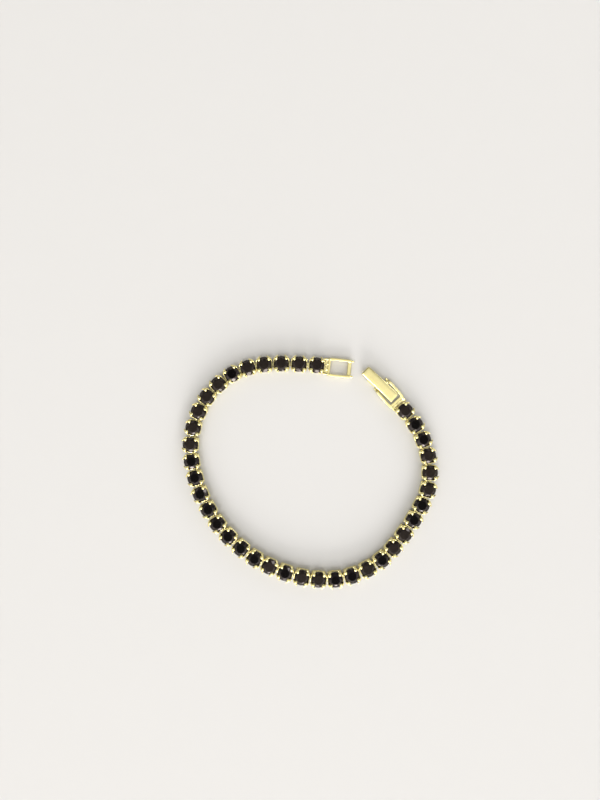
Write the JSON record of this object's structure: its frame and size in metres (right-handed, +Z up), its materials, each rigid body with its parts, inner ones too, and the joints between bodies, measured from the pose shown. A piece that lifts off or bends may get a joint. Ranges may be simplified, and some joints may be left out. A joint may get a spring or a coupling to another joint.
{
  "type": "tennis bracelet",
  "caption": "Tennis bracelet of round black stones in gold-tone four-claw settings, hinged link to link, with a fold-over clasp and its catch frame, lying open as a loop.",
  "frame": {"origin": "middle of the bracelet's box, on the surface that it lies on", "axes": "+X along the bracelet's longer way across, +Z up out of the stones' faces"},
  "size_m": [0.064, 0.0582, 0.003],
  "materials": {
    "gold_plate": "polished pale yellow gold plate",
    "black_stone": "polished opaque black, faceted"
  },
  "bodies": {
    "root": {"catch_frame": "gold_plate", "link_02": "gold_plate", "link_03": "gold_plate", "link_04": "gold_plate", "link_05": "gold_plate", "link_06": "gold_plate", "link_07": "gold_plate", "link_08": "gold_plate", "link_09": "gold_plate", "link_10": "gold_plate", "link_11": "gold_plate", "link_12": "gold_plate", "link_13": "gold_plate", "link_14": "gold_plate", "link_15": "gold_plate", "link_16": "gold_plate", "link_17": "gold_plate", "link_18": "gold_plate", "link_19": "gold_plate", "link_20": "gold_plate", "link_21": "gold_plate", "link_22": "gold_plate", "link_23": "gold_plate", "link_24": "gold_plate", "link_25": "gold_plate", "link_26": "gold_plate", "link_27": "gold_plate", "link_28": "gold_plate", "link_29": "gold_plate", "link_30": "gold_plate", "link_31": "gold_plate", "link_32": "gold_plate", "link_33": "gold_plate", "link_34": "gold_plate", "link_35": "gold_plate", "link_36": "gold_plate", "clasp_frame": "gold_plate"},
    "tongue": {"clasp_tongue": "gold_plate"},
    "cover": {"clasp_cover": "gold_plate", "hinge_pin": "gold_plate"}
  },
  "joints": [
    {"name": "tongue_pivot", "type": "hinge", "parent": "root", "child": "tongue", "pos_m": [0.01835, 0.02145, 0.00095], "axis": [0.7488, 0.6628, 0], "range_deg": [0, 25]},
    {"name": "cover_hinge", "type": "hinge", "parent": "tongue", "child": "cover", "pos_m": [0.01435, 0.02496, 0.00095], "axis": [-0.6884, -0.7254, 0], "range_deg": [0, 150]}
  ]
}
